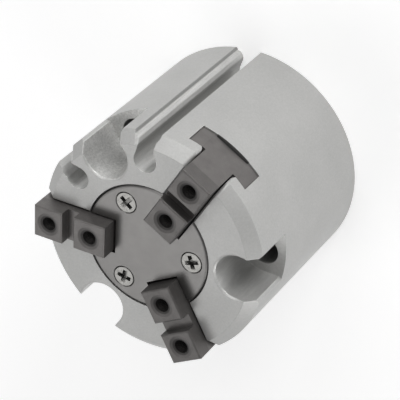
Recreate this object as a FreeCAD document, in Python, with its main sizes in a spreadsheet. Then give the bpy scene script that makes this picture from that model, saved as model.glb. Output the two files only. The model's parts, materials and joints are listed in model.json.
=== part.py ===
import FreeCAD, Part
import math
import os
import re

import Sketcher

# Three jaw centric gripper: a round pneumatic body whose piston pushes a wedge cam, which slides
# three fingers in radial T-slots.
#
# Millimetres. Origin at the centre of the rear mounting face, +Z along the axis to the fingers.
# Finger A lies along +X, B at 120 degrees and C at 240 degrees. The fingers are closed, which is
# where the piston is at the rear end of its stroke.

# ---------------------------------------------------------------------------------------------
# Driving sizes: name, millimetres (degrees where the name says so), what it is
# ---------------------------------------------------------------------------------------------
SIZES = [
    # body
    ("body_radius", 21.0, "outside of the round body"),
    ("body_length", 37.0, "rear face to front face"),
    ("front_chamfer", 2.0, "bevel round the front face"),
    ("rear_chamfer", 0.15, "bevel round the rear face"),
    ("bore_radius", 12.5, "piston bore"),
    ("cap_shoulder", 0.5, "step from the piston bore out to the cap's bore"),
    ("pilot_depth", 1.5, "pilot left free behind the retaining ring"),
    ("edge_break", 0.3, "small bevel on machined edges"),
    # running and sitting gaps
    ("running_gap", 0.05, "guide, rod and cam clearance on each side"),
    ("seat_gap", 0.05, "clearance round pieces that sit still"),
    ("end_gap", 0.25, "left at each end of a stroke"),
    # stroke
    ("piston_stroke", 4.0, "piston and cam travel along the axis"),
    ("finger_stroke", 3.0, "travel of each finger away from the axis"),
    # fingers and their slots
    ("finger_half", 3.0, "half width of a finger above its guide"),
    ("guide_half", 6.1, "half width of the T-shaped guide"),
    ("guide_height", 5.0, "height of the T-shaped guide"),
    ("lip_thick", 4.3, "body lip above the guide"),
    ("slot_gap", 0.2, "clearance beside a finger above its guide"),
    ("lip_bevel", 0.5, "bevel under the lips beside the finger"),
    ("mouth_bevel", 0.6, "rounding of the lips at the slot's outer mouth"),
    ("finger_inner", 6.6, "axis to the closed finger's inner end"),
    ("finger_recess", 0.6, "finger's outer end inside the body's outside"),
    ("guide_recess", 0.25, "guide's rounded outer end inside the body's outside"),
    ("finger_rise", 3.0, "finger pads above the front face"),
    ("pad_gap_inner", 12.65, "axis to the inner wall of the cross groove"),
    ("pad_gap_outer", 14.95, "axis to the outer wall of the cross groove"),
    ("pad_gap_depth", 2.0, "depth of the cross groove"),
    ("belly_half", 3.4, "half width of the relief under the finger"),
    ("belly_height", 0.2, "height of the relief under the finger"),
    ("root_relief_width", 0.7, "relief groove beside the finger's root"),
    ("root_relief_depth", 0.4, "depth of that groove"),
    ("finger_hole_inner", 9.63, "axis to the inner threaded hole"),
    ("finger_hole_pitch", 8.0, "between the two threaded holes"),
    ("finger_tap_radius", 1.25, "M3 thread, minor radius"),
    ("finger_tap_depth", 6.0, "full depth of the M3 holes"),
    ("finger_hole_rim", 2.1, "radius of the countersunk rim"),
    ("finger_rim_depth", 0.3, "depth of the countersunk rim"),
    ("finger_bevel", 0.2, "bevel round the finger's pads"),
    # wedge
    ("wedge_front", 4.3, "axis to the wedge face at the cam's front end"),
    ("hook_neck_half", 1.15, "half width of the hook's neck"),
    ("hook_foot_half", 2.15, "half width of the hook's foot"),
    ("hook_neck_depth", 1.0, "neck, measured square to the axis"),
    ("hook_foot_depth", 1.25, "foot, measured square to the axis"),
    ("hook_height", 2.1, "height of the hook along the axis"),
    ("cam_height", 8.45, "cam without its rod"),
    ("cam_radius", 6.9, "cam's round core"),
    ("cam_reach", 9.3, "axis to the ends of the cam's lobes"),
    # end plate
    ("plate_radius", 11.6, "end plate"),
    ("plate_thick", 1.8, "end plate"),
    ("plate_notch_gap", 0.3, "clearance of the notches beside the fingers"),
    ("plate_notch_end", 0.5, "clearance of the notches at the closed fingers' inner ends"),
    ("plate_screw_circle", 8.5, "axis to the end plate screws"),
    ("screw_radius", 1.0, "M2 thread, major radius"),
    ("screw_head_radius", 1.9, "countersunk head"),
    ("screw_length", 3.9, "over the head"),
    # mounting bolts
    ("bolt_circle", 17.0, "axis to the mounting holes"),
    ("scallop_radius", 4.1, "counterbore, open to the outside"),
    ("scallop_depth", 10.0, "front face to the counterbore's shoulder"),
    ("scallop_bevel", 0.55, "bevel where the counterbore opens to the outside"),
    ("bolt_hole_radius", 2.5, "through hole"),
    ("rear_tap_radius", 2.1, "M5 thread in the rear end, minor radius"),
    ("rear_tap_depth", 10.0, "M5 thread in the rear end"),
    ("dowel_radius", 1.5, "locating pin hole in the rear face"),
    ("dowel_depth", 3.0, "locating pin hole in the rear face"),
    # switch grooves, measured in the frame of the scallop that they flank
    ("switch_offset", 7.35, "groove's centre to the scallop's centre line"),
    ("switch_depth", 6.3, "groove's centre below the outside"),
    ("switch_radius", 2.1, "round part of the groove"),
    # ports
    ("port_lead", 1.4, "each port's centre ahead of its drilling"),
    ("port_tap_radius", 2.1, "M5 thread, minor radius"),
    ("port_depth", 6.0, "M5 port"),
    ("passage_radius", 0.4, "drilling from a port to the cylinder"),
    # cap and its ring
    ("ring_thick", 1.2, "retaining ring"),
    ("ring_width", 2.2, "retaining ring, radially"),
    ("ring_bite", 0.6, "depth of the retaining ring's groove"),
    ("ring_gap_half", 4.0, "half of the gap between the ring's lugs"),
    ("lug_radius", 1.7, "lugs of the retaining ring"),
    ("lug_hole_radius", 0.75, "holes for the pliers"),
    ("cap_thick", 3.8, "cap"),
    ("cap_recess_radius", 8.0, "hollow in the cap's rear face"),
    ("cap_recess_depth", 0.8, "hollow in the cap's rear face"),
    ("cap_groove_width", 1.9, "gasket groove"),
    ("cap_groove_depth", 1.25, "gasket groove"),
    # piston and what it carries
    ("piston_thick", 7.2, "piston without its spigot's seat"),
    ("piston_bevel", 1.2, "bevel round the piston's rear end"),
    ("wear_width", 1.2, "wear ring groove"),
    ("wear_depth", 0.8, "wear ring groove"),
    ("wear_rear", 1.4, "piston's rear end to the wear ring groove"),
    ("seal_width", 2.0, "piston seal groove"),
    ("seal_depth", 1.9, "piston seal groove"),
    ("seal_rear", 3.1, "piston's rear end to the seal groove"),
    ("magnet_rear", 5.5, "piston's rear end to the magnet"),
    ("magnet_thick", 1.2, "magnet ring"),
    ("magnet_depth", 3.5, "piston bore in to the spigot that carries the magnet"),
    ("rod_radius", 4.0, "cam's rod"),
    ("rod_sink", 1.0, "rod end sunk in the piston"),
    ("bolt_radius", 2.0, "M4 piston bolt, major radius"),
    ("bolt_head_radius", 3.5, "piston bolt's head"),
    ("bolt_head_height", 3.9, "piston bolt's head"),
    ("bolt_sink", 4.2, "piston's rear end to the head's seat"),
    ("bolt_length", 8.0, "piston bolt under its head"),
    ("bolt_key", 3.0, "hexagon across flats"),
    ("gasket_cord", 0.44, "bolt gasket, section radius"),
    ("rod_seal_width", 2.0, "rod seal groove"),
    ("rod_seal_depth", 1.2, "rod seal groove"),
]

# ---------------------------------------------------------------------------------------------
# Places that follow from the driving sizes
# ---------------------------------------------------------------------------------------------
PLACES = [
    ("cap_bore_radius", "bore_radius + cap_shoulder"),
    ("cap_rear", "pilot_depth + ring_thick"),
    ("cap_seat", "cap_rear + cap_thick"),
    ("piston_rear", "cap_seat + end_gap"),
    ("piston_front", "piston_rear + piston_thick"),
    ("bulkhead_rear", "piston_front + piston_stroke + end_gap"),
    ("plate_seat", "body_length - plate_thick"),
    ("cam_front", "plate_seat - end_gap - piston_stroke"),
    ("cam_rear", "cam_front - cam_height"),
    ("bulkhead_front", "cam_rear - end_gap"),
    ("rod_end", "piston_front - rod_sink"),
    ("guide_top", "body_length - lip_thick"),
    ("guide_bottom", "guide_top - guide_height"),
    ("finger_top", "body_length + finger_rise"),
    ("finger_outer", "body_radius - finger_recess"),
    ("hook_bottom", "guide_bottom + belly_height"),
    ("wedge_slope", "finger_stroke / piston_stroke"),
    ("slot_half", "finger_half + slot_gap"),
    ("plate_seat_radius", "plate_radius + seat_gap * 3"),
    ("notch_half", "finger_half + plate_notch_gap"),
    ("notch_inner", "finger_inner - plate_notch_end"),
    ("cavity_radius", "cam_radius + running_gap * 2"),
    ("cavity_reach", "cam_reach + end_gap + running_gap"),
    ("magnet_inner", "bore_radius - magnet_depth"),
    ("scallop_floor", "body_length - scallop_depth"),
    ("scallop_lip", "sqrt(body_radius * body_radius - scallop_radius * scallop_radius) - scallop_bevel"),
    ("switch_x", "body_radius - switch_depth"),
    ("far", "body_radius * 2 + body_length"),
    ("rod_seal_rear", "(bulkhead_rear + bulkhead_front - rod_seal_width) / 2"),
    ("passage_rear", "piston_rear + piston_bevel * 0.75"),
    ("passage_front", "bulkhead_rear - passage_radius * 1.5"),
    ("port_rear", "passage_rear + port_lead"),
    ("port_front", "passage_front + port_lead"),
]

FINGERS = {"finger_a": 0, "finger_b": 120, "finger_c": 240}
SCREWS = {"end_plate_screw_1": 60, "end_plate_screw_2": 180, "end_plate_screw_3": 300}
THIRD_TURNS = 3
SCALLOP_ANGLE = 180
SWITCH_ANGLE = -60
PORT_ANGLE = 120
DOWEL_ANGLE = 90

doc = FreeCAD.newDocument("ThreeJawGripper")
sizes = doc.addObject("Spreadsheet::Sheet", "Sizes")
places = doc.addObject("Spreadsheet::Sheet", "Places")
SHEET_OF = {}


# ---------------------------------------------------------------------------------------------
# The sheets and expressions
# ---------------------------------------------------------------------------------------------
def bound(text):
    """Turn the bare size names in an expression into references to their sheets."""
    def reference(word):
        name = word.group()
        return f"{SHEET_OF[name]}.{name}" if name in SHEET_OF else name
    return re.sub(r"[a-z][a-z_]*", reference, text)


def value(text):
    """The number that an expression has now."""
    return float(sizes.evalExpression(bound(text)))


def fill_sheets():
    for row, (name, number, meaning) in enumerate(SIZES, start=1):
        sizes.set(f"A{row}", name)
        sizes.set(f"B{row}", str(number))
        sizes.set(f"C{row}", meaning)
        sizes.setAlias(f"B{row}", name)
        SHEET_OF[name] = "Sizes"
    doc.recompute()
    for row, (name, formula) in enumerate(PLACES, start=1):
        places.set(f"A{row}", name)
        places.set(f"B{row}", "=" + bound(formula))
        places.setAlias(f"B{row}", name)
        SHEET_OF[name] = "Places"
        doc.recompute()


# ---------------------------------------------------------------------------------------------
# Sketches
# ---------------------------------------------------------------------------------------------
def new_body(label):
    body = doc.addObject("PartDesign::Body", label)
    body.Label = label
    return body


def origin_feature(body, role):
    return next(item for item in body.Origin.OriginFeatures if item.Role == role)


def new_sketch(body, name, role, lift, turn):
    """Sketch on one of the body's own planes, lifted along its normal and turned about it."""
    sketch = body.newObject("Sketcher::SketchObject", name)
    sketch.AttachmentSupport = [(origin_feature(body, role), "")]
    sketch.MapMode = "FlatFace"
    turned = FreeCAD.Rotation(FreeCAD.Vector(0, 0, 1), turn)
    sketch.AttachmentOffset = FreeCAD.Placement(FreeCAD.Vector(0, 0, value(lift)), turned)
    if lift != "0":
        sketch.setExpression("AttachmentOffset.Base.z", bound(lift))
    return sketch


def pin(sketch, geometry, point, x, y):
    """Hold a point of a sketch at the place that two expressions give."""
    for kind, axis, text in (("DistanceX", -2, x), ("DistanceY", -1, y)):
        if text == "0":
            sketch.addConstraint(Sketcher.Constraint("PointOnObject", geometry, point, axis))
            continue
        rule = Sketcher.Constraint(kind, -1, 1, geometry, point, value(text))
        number = sketch.addConstraint(rule)
        sketch.setExpression(f"Constraints[{number}]", bound(text))


def outline(body, name, role, corners, lift="0", turn=0):
    """Closed straight-sided sketch through corners given as pairs of expressions."""
    sketch = new_sketch(body, name, role, lift, turn)
    points = [FreeCAD.Vector(value(x), value(y), 0) for x, y in corners]
    count = len(points)
    for index in range(count):
        after = (index + 1) % count
        sketch.addGeometry(Part.LineSegment(points[index], points[after]), False)
    for index in range(count):
        after = (index + 1) % count
        sketch.addConstraint(Sketcher.Constraint("Coincident", index, 2, after, 1))
    for index, (x, y) in enumerate(corners):
        pin(sketch, index, 1, x, y)
    return sketch


def circles(body, name, role, rounds, lift="0", turn=0):
    """Sketch of circles, each given as expressions for its centre and radius."""
    sketch = new_sketch(body, name, role, lift, turn)
    for index, (x, y, radius) in enumerate(rounds):
        centre = FreeCAD.Vector(value(x), value(y), 0)
        circle = Part.Circle(centre, FreeCAD.Vector(0, 0, 1), value(radius))
        sketch.addGeometry(circle, False)
        pin(sketch, index, 3, x, y)
        number = sketch.addConstraint(Sketcher.Constraint("Radius", index, value(radius)))
        sketch.setExpression(f"Constraints[{number}]", bound(radius))
    return sketch


def rectangle(left, bottom, right, top):
    return [(left, bottom), (right, bottom), (right, top), (left, top)]


# ---------------------------------------------------------------------------------------------
# Features
# ---------------------------------------------------------------------------------------------
def turned(body, name, corners, angle=360):
    """Solid of revolution about Z from a half section in radius and height."""
    feature = body.newObject("PartDesign::Revolution", name)
    feature.Profile = outline(body, name + "_section", "XZ_Plane", corners)
    feature.ReferenceAxis = (feature.Profile[0], ["V_Axis"])
    feature.Angle = angle
    doc.recompute()
    return feature


def set_length(feature, length, both, back):
    if length:
        feature.Length = value(length)
        feature.setExpression("Length", bound(length))
    else:
        feature.Type = "ThroughAll"
    if both:
        feature.SideType = "Symmetric"
    feature.Reversed = back


def pad(body, name, sketch, length, both=False, back=False):
    feature = body.newObject("PartDesign::Pad", name)
    feature.Profile = sketch
    set_length(feature, length, both, back)
    doc.recompute()
    return feature


def pocket(body, name, sketch, length=None, both=False, back=False):
    """Cut that goes against the sketch's normal, or along it with back set, and must remove metal."""
    before = body.Tip.Shape.Volume
    feature = body.newObject("PartDesign::Pocket", name)
    feature.Profile = sketch
    set_length(feature, length, both, back)
    doc.recompute()
    check_removed(before, feature)
    return feature


def cone_cut(body, name, centre, top, reach):
    """Countersink at right angles: reach is its radius at the top and its depth."""
    before = body.Tip.Shape.Volume
    cone = body.newObject("PartDesign::Groove", name)
    cone.Profile = outline(body, name + "Section", "XZ_Plane", [
        (centre, top),
        (f"{centre} - ({reach})", top),
        (centre, f"{top} - ({reach})"),
    ])
    cone.ReferenceAxis = (cone.Profile[0], ["Edge3"])
    cone.Angle = 360
    doc.recompute()
    check_removed(before, cone)
    return cone


def check_removed(before, feature):
    if not feature.Shape.Volume < before:
        raise RuntimeError(f"{feature.Label} removes nothing")


def around(body, name, features, count=THIRD_TURNS):
    """Repeat features round the body's Z axis."""
    before = body.Tip.Shape.Volume
    pattern = body.newObject("PartDesign::PolarPattern", name)
    pattern.Originals = features
    pattern.Axis = (origin_feature(body, "Z_Axis"), [""])
    pattern.Angle = 360
    pattern.Occurrences = count
    body.Tip = pattern
    doc.recompute()
    check_removed(before, pattern)
    return pattern


def edges_where(shape, test):
    """Names of the edges whose middle and ends all pass a test."""
    names = []
    for number, edge in enumerate(shape.Edges, start=1):
        middle = edge.valueAt((edge.FirstParameter + edge.LastParameter) / 2)
        points = [middle] + [vertex.Point for vertex in edge.Vertexes]
        if all(test(point) for point in points):
            names.append(f"Edge{number}")
    return names


def dress(body, kind, name, size_property, size, test):
    """Chamfer or fillet on the edges that pass a test of place."""
    base = body.Tip
    feature = body.newObject(kind, name)
    feature.Base = (base, edges_where(base.Shape, test))
    setattr(feature, size_property, value(size))
    feature.setExpression(size_property, bound(size))
    doc.recompute()
    return feature


def place(body, angle=0, height="0", radius="0"):
    """Put a finished piece at a height, a radius and an angle about the axis."""
    spin = FreeCAD.Rotation(FreeCAD.Vector(0, 0, 1), angle)
    body.Placement = FreeCAD.Placement(FreeCAD.Vector(0, 0, 0), spin)
    if radius != "0":
        body.setExpression("Placement.Base.x", bound(f"({radius}) * cos({angle} deg)"))
        body.setExpression("Placement.Base.y", bound(f"({radius}) * sin({angle} deg)"))
    if height != "0":
        body.setExpression("Placement.Base.z", bound(height))


# ---------------------------------------------------------------------------------------------
# Body
# ---------------------------------------------------------------------------------------------
def body_section():
    """Half section of the turned body, from the pilot round the outside to the rear again."""
    groove_end = "cap_rear + seat_gap * 2"
    groove_radius = "cap_bore_radius + ring_bite"
    rod_bore = "rod_radius + running_gap"
    seal_radius = "rod_radius + rod_seal_depth"
    seal_front = "rod_seal_rear + rod_seal_width"
    return [
        ("cap_bore_radius", "0"),
        ("body_radius - rear_chamfer", "0"),
        ("body_radius", "rear_chamfer"),
        ("body_radius", "body_length - front_chamfer"),
        ("body_radius - front_chamfer", "body_length"),
        ("plate_seat_radius", "body_length"),
        ("plate_seat_radius", "plate_seat"),
        ("cavity_radius", "plate_seat"),
        ("cavity_radius", "bulkhead_front"),
        (rod_bore, "bulkhead_front"),
        (rod_bore, seal_front),
        (seal_radius, seal_front),
        (seal_radius, "rod_seal_rear"),
        (rod_bore, "rod_seal_rear"),
        (rod_bore, "bulkhead_rear"),
        ("bore_radius", "bulkhead_rear"),
        ("bore_radius", "cap_seat"),
        ("cap_bore_radius", "cap_seat"),
        ("cap_bore_radius", groove_end),
        (groove_radius, groove_end),
        (groove_radius, "pilot_depth"),
        ("cap_bore_radius", "pilot_depth"),
    ]


def slot_section():
    """T-slot across a finger's path: a wide guide under two lips, and the way out between them."""
    guide = "guide_half + running_gap"
    floor = "guide_bottom - running_gap"
    roof = "guide_top + running_gap"
    open_top = "body_length + edge_break"
    right = [
        (guide, floor),
        (guide, roof),
        ("slot_half + lip_bevel", roof),
        ("slot_half", roof + " + lip_bevel"),
        ("slot_half", "body_length - edge_break"),
        ("slot_half + edge_break * 2", open_top),
    ]
    left = [(f"-({x})", y) for x, y in reversed(right)]
    return right + left


def scallop_opening():
    """Way out of a counterbore to the body's side, which flares at its outer edges."""
    right = [
        ("bolt_circle", "scallop_radius"),
        ("scallop_lip", "scallop_radius"),
        ("scallop_lip + scallop_bevel * 6", "scallop_radius + scallop_bevel * 6"),
    ]
    left = [(x, f"-({y})") for x, y in reversed(right)]
    return right + left


def switch_mouth():
    """Mouth of a switch groove from its round bottom out: a lip on the near side, a flare on the other."""
    near_wall = [(0.6, -1.95), (1.3, -1.5), (1.85, -1.1), (2.3, -0.6), (2.75, -0.15), (3.1, 0.0)]
    lip = [(3.8, 0.05), (4.2, -0.1), (4.45, -0.45), (9.3, -0.45)]
    shoulder = [(9.3, 8.6), (2.5, 3.6), (2.15, 3.0), (1.3, 2.5), (-0.2, 1.7)]
    return near_wall + lip + shoulder


def make_body():
    body = new_body("body")
    turned(body, "Housing", body_section())

    slot = pocket(body, "FingerSlot", outline(body, "SlotSection", "YZ_Plane", slot_section()),
                  "far", back=True)
    chamber = pocket(body, "CamChamber",
                     outline(body, "ChamberOutline", "XY_Plane",
                             rectangle("0", "-(slot_half)", "cavity_reach", "slot_half"),
                             lift="body_length"),
                     "body_length - bulkhead_front")
    around(body, "FingerSlots", [slot, chamber])

    scallop = pocket(body, "Scallop",
                     circles(body, "ScallopRound", "XY_Plane",
                             [("bolt_circle", "0", "scallop_radius")],
                             lift="body_length", turn=SCALLOP_ANGLE),
                     "scallop_depth")
    opening = pocket(body, "ScallopOpening",
                     outline(body, "ScallopSides", "XY_Plane", scallop_opening(),
                             lift="body_length", turn=SCALLOP_ANGLE),
                     "scallop_depth")
    through = pocket(body, "BoltHole",
                     circles(body, "BoltHoleRound", "XY_Plane",
                             [("bolt_circle", "0", "bolt_hole_radius")],
                             lift="scallop_floor", turn=SCALLOP_ANGLE),
                     "scallop_floor - rear_tap_depth")
    thread = pocket(body, "RearThread",
                    circles(body, "RearThreadRound", "XY_Plane",
                            [("bolt_circle", "0", "rear_tap_radius")],
                            turn=SCALLOP_ANGLE),
                    "rear_tap_depth + seat_gap", back=True)
    rim = cone_cut(body, "ScallopRim", "-(bolt_circle)", "body_length",
                   "scallop_radius + edge_break")
    around(body, "MountingHoles", [scallop, opening, through, thread, rim])

    round_slot_mouths(body)
    screw_hole = pocket(body, "PlateScrewHole",
                        circles(body, "PlateScrewRound", "XY_Plane",
                                [("plate_screw_circle", "0", "screw_radius")],
                                lift="plate_seat", turn=SCALLOP_ANGLE),
                        "screw_length - plate_thick + edge_break")
    around(body, "PlateScrewHoles", [screw_hole])

    for side in (1, -1):
        name = "Left" if side > 0 else "Right"
        centre = ("switch_x", f"switch_offset * {side}")
        pocket(body, name + "SwitchRound",
               circles(body, name + "SwitchCircle", "XY_Plane",
                       [(*centre, "switch_radius")], turn=SWITCH_ANGLE),
               back=True)
        mouth = [(f"switch_x + {dx}", f"(switch_offset + {dy}) * {side}")
                 for dx, dy in switch_mouth()]
        pocket(body, name + "SwitchMouth",
               outline(body, name + "SwitchMouthOutline", "XY_Plane", mouth, turn=SWITCH_ANGLE),
               back=True)

    pocket(body, "DowelHole",
           circles(body, "DowelRound", "XY_Plane", [("bolt_circle", "0", "dowel_radius")],
                   turn=DOWEL_ANGLE),
           "dowel_depth", back=True)
    drill_ports(body)
    return body


def round_slot_mouths(body):
    """Round the lips where the fingers come out of the body's side."""
    half = value("slot_half")
    inner = value("body_radius - front_chamfer") - 0.1

    def on_mouth(point):
        for angle in FINGERS.values():
            along = point.x * math.cos(math.radians(angle)) + point.y * math.sin(math.radians(angle))
            across = point.y * math.cos(math.radians(angle)) - point.x * math.sin(math.radians(angle))
            if along > 0 and abs(abs(across) - half) < 0.01:
                return math.hypot(point.x, point.y) > inner and point.z > value("guide_top")
        return False

    dress(body, "PartDesign::Fillet", "SlotMouths", "Radius", "mouth_bevel", on_mouth)


def drill_ports(body):
    """Two ports above each other on the side away from the switch grooves, each with a drilling inward."""
    def radial(name, height, radius, length):
        sketch = circles(body, name + "Round", "YZ_Plane", [("0", height, radius)])
        spin = FreeCAD.Rotation(FreeCAD.Vector(0, 1, 0), PORT_ANGLE)
        sketch.AttachmentOffset = FreeCAD.Placement(FreeCAD.Vector(0, 0, 0), spin)
        sketch.setExpression("AttachmentOffset.Base.x", bound(f"body_radius * sin({PORT_ANGLE} deg)"))
        sketch.setExpression("AttachmentOffset.Base.z", bound(f"body_radius * cos({PORT_ANGLE} deg)"))
        pocket(body, name, sketch, length)

    to_cylinder = "body_radius - bore_radius + passage_radius"
    radial("RearPort", "port_rear", "port_tap_radius", "port_depth")
    radial("FrontPort", "port_front", "port_tap_radius", "port_depth")
    radial("RearPassage", "passage_rear", "passage_radius", to_cylinder)
    radial("FrontPassage", "passage_front", "passage_radius", to_cylinder)


# ---------------------------------------------------------------------------------------------
# End plate and its screws
# ---------------------------------------------------------------------------------------------
def make_end_plate():
    plate = new_body("end_plate")
    turned(plate, "Disc", [
        ("0", "0"),
        ("plate_radius", "0"),
        ("plate_radius", "plate_thick - edge_break"),
        ("plate_radius - edge_break", "plate_thick"),
        ("0", "plate_thick"),
    ])
    notch = pocket(plate, "Notch",
                   outline(plate, "NotchOutline", "XY_Plane",
                           rectangle("notch_inner", "-(notch_half)",
                                     "plate_radius * 2", "notch_half")),
                   back=True)
    seat = pocket(plate, "ScrewHole",
                  circles(plate, "ScrewRound", "XY_Plane",
                          [("plate_screw_circle", "0", "screw_radius + seat_gap * 4")],
                          turn=SCALLOP_ANGLE),
                  back=True)
    cone = cone_cut(plate, "ScrewSeat", "-(plate_screw_circle)", "plate_thick",
                    "screw_head_radius + seat_gap * 3")
    around(plate, "NotchesAndSeats", [notch, seat, cone])
    place(plate, height="plate_seat")
    return plate


def make_screw(label, angle):
    """Countersunk screw, its head flush with the front face."""
    screw = new_body(label)
    shank = "screw_radius - seat_gap"
    head = "screw_head_radius - running_gap"
    turned(screw, "Screw", [
        ("0", "-(screw_length)"),
        (f"{shank} - edge_break", "-(screw_length)"),
        (shank, "-(screw_length) + edge_break"),
        (shank, f"({shank}) - ({head}) - edge_break / 3"),
        (head, "-edge_break / 3"),
        (head, "0"),
        ("0", "0"),
    ])
    place(screw, angle, height="body_length", radius="plate_screw_circle")
    return screw


# ---------------------------------------------------------------------------------------------
# Fingers and cam
# ---------------------------------------------------------------------------------------------
def wedge_at(height, depth="0"):
    """Radius of the wedge face at a height, or of a parallel face some depth inside it."""
    return f"wedge_front + wedge_slope * (cam_front - ({height})) - ({depth})"


def slanted(bottom, top, outer, inner):
    """Section between two heights and between two faces parallel to the wedge face."""
    return [
        (wedge_at(bottom, outer), bottom),
        (wedge_at(top, outer), top),
        (wedge_at(top, inner), top),
        (wedge_at(bottom, inner), bottom),
    ]


def make_finger(label, angle):
    finger = new_body(label)
    face = "-(running_gap)"
    pad(finger, "Web", outline(finger, "WebSide", "XZ_Plane", [
        (wedge_at("guide_bottom", face), "guide_bottom"),
        ("finger_outer", "guide_bottom"),
        ("finger_outer", "finger_top"),
        ("pad_gap_outer", "finger_top"),
        ("pad_gap_outer", "finger_top - pad_gap_depth"),
        ("pad_gap_inner", "finger_top - pad_gap_depth"),
        ("pad_gap_inner", "finger_top"),
        ("finger_inner", "finger_top"),
        ("finger_inner", "guide_top"),
        (wedge_at("guide_top", face), "guide_top"),
    ]), "finger_half * 2", both=True)
    pad(finger, "Guide", outline(finger, "GuideSide", "XZ_Plane",
                                 rectangle("finger_inner + slot_gap", "guide_bottom",
                                           "finger_outer", "guide_top")),
        "guide_half * 2", both=True)
    pocket(finger, "RoundEnd",
           circles(finger, "RoundEndRings", "XY_Plane",
                   [("0", "0", "body_radius - guide_recess"), ("0", "0", "far")], lift="guide_bottom"),
           "guide_height", back=True)
    pocket(finger, "Belly", outline(finger, "BellySection", "YZ_Plane",
                                    rectangle("-(belly_half)", "guide_bottom - belly_height",
                                              "belly_half", "guide_bottom + belly_height")),
           back=True)
    for side in ("", "-"):
        name = "Left" if side else "Right"
        pocket(finger, name + "RootRelief", outline(finger, name + "ReliefSection", "YZ_Plane", [
            (f"{side}(finger_half)", "guide_top"),
            (f"{side}(finger_half + root_relief_width)", "guide_top"),
            (f"{side}(finger_half + root_relief_width)", "guide_top - root_relief_depth"),
            (f"{side}(finger_half)", "guide_top - root_relief_depth"),
        ]), back=True)
    top_edges = lambda point: abs(point.z - value("finger_top")) < 0.001
    dress(finger, "PartDesign::Chamfer", "PadEdges", "Size", "finger_bevel", top_edges)
    add_hook(finger)
    drill_finger(finger)
    place(finger, angle)
    return finger


def add_hook(finger):
    """T-shaped hook on the wedge face, which lets the cam pull the finger as well as push it."""
    top = "hook_bottom + hook_height"
    root = "-(running_gap)"
    pad(finger, "HookNeck", outline(finger, "HookNeckSide", "XZ_Plane",
                                    slanted("hook_bottom", top, root, "hook_neck_depth + edge_break")),
        "hook_neck_half * 2", both=True)
    pad(finger, "HookFoot", outline(finger, "HookFootSide", "XZ_Plane",
                                    slanted("hook_bottom", top, "hook_neck_depth + running_gap",
                                            "hook_neck_depth + hook_foot_depth - running_gap")),
        "hook_foot_half * 2", both=True)


def drill_finger(finger):
    """Two threaded holes from the pads down, each with a countersunk rim and a drilled end."""
    for name, centre in (("Inner", "finger_hole_inner"),
                         ("Outer", "finger_hole_inner + finger_hole_pitch")):
        before = finger.Tip.Shape.Volume
        bottom = "finger_top - finger_tap_depth"
        hole = finger.newObject("PartDesign::Groove", name + "Hole")
        hole.Profile = outline(finger, name + "HoleSection", "XZ_Plane", [
            (centre, "finger_top"),
            (f"{centre} + finger_hole_rim", "finger_top"),
            (f"{centre} + finger_tap_radius", "finger_top - finger_rim_depth"),
            (f"{centre} + finger_tap_radius", bottom),
            (centre, f"{bottom} - finger_tap_radius / 2"),
        ])
        hole.ReferenceAxis = (hole.Profile[0], ["Edge5"])
        hole.Angle = 360
        doc.recompute()
        check_removed(before, hole)


def make_cam():
    cam = new_body("cam")
    turned(cam, "Core", [
        ("0", "rod_end"),
        ("rod_radius - edge_break", "rod_end"),
        ("rod_radius", "rod_end + edge_break"),
        ("rod_radius", "cam_rear"),
        ("cam_radius", "cam_rear"),
        ("cam_radius", "cam_front"),
        ("0", "cam_front"),
    ])
    lobes = outline(cam, "LobeOutline", "XY_Plane",
                    rectangle("0", "-(finger_half)", "cam_reach", "finger_half"), lift="cam_rear")
    lobe = pad(cam, "Lobe", lobes, "cam_height")
    pattern = cam.newObject("PartDesign::PolarPattern", "Lobes")
    pattern.Originals = [lobe]
    pattern.Axis = (origin_feature(cam, "Z_Axis"), [""])
    pattern.Angle = 360
    pattern.Occurrences = THIRD_TURNS
    cam.Tip = pattern
    doc.recompute()
    face = pocket(cam, "WedgeFace", outline(cam, "WedgeSide", "XZ_Plane",
                                            slanted("cam_rear - end_gap", "cam_front + end_gap",
                                                    "0", "-(far)")),
                  both=True)
    neck = pocket(cam, "GrooveNeck", outline(cam, "GrooveNeckSide", "XZ_Plane",
                                             slanted("cam_rear - end_gap", "cam_front + end_gap",
                                                     "-(running_gap)", "hook_neck_depth")),
                  "(hook_neck_half + running_gap) * 2", both=True)
    foot = pocket(cam, "GrooveFoot", outline(cam, "GrooveFootSide", "XZ_Plane",
                                             slanted("cam_rear - end_gap", "cam_front + end_gap",
                                                     "hook_neck_depth",
                                                     "hook_neck_depth + hook_foot_depth")),
                  "(hook_foot_half + running_gap) * 2", both=True)
    around(cam, "WedgeFaces", [face, neck, foot])
    pocket(cam, "BoltThread", circles(cam, "BoltThreadRound", "XY_Plane",
                                      [("0", "0", "bolt_radius")], lift="rod_end"),
           "bolt_length", back=True)
    place(cam)
    return cam


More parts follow.
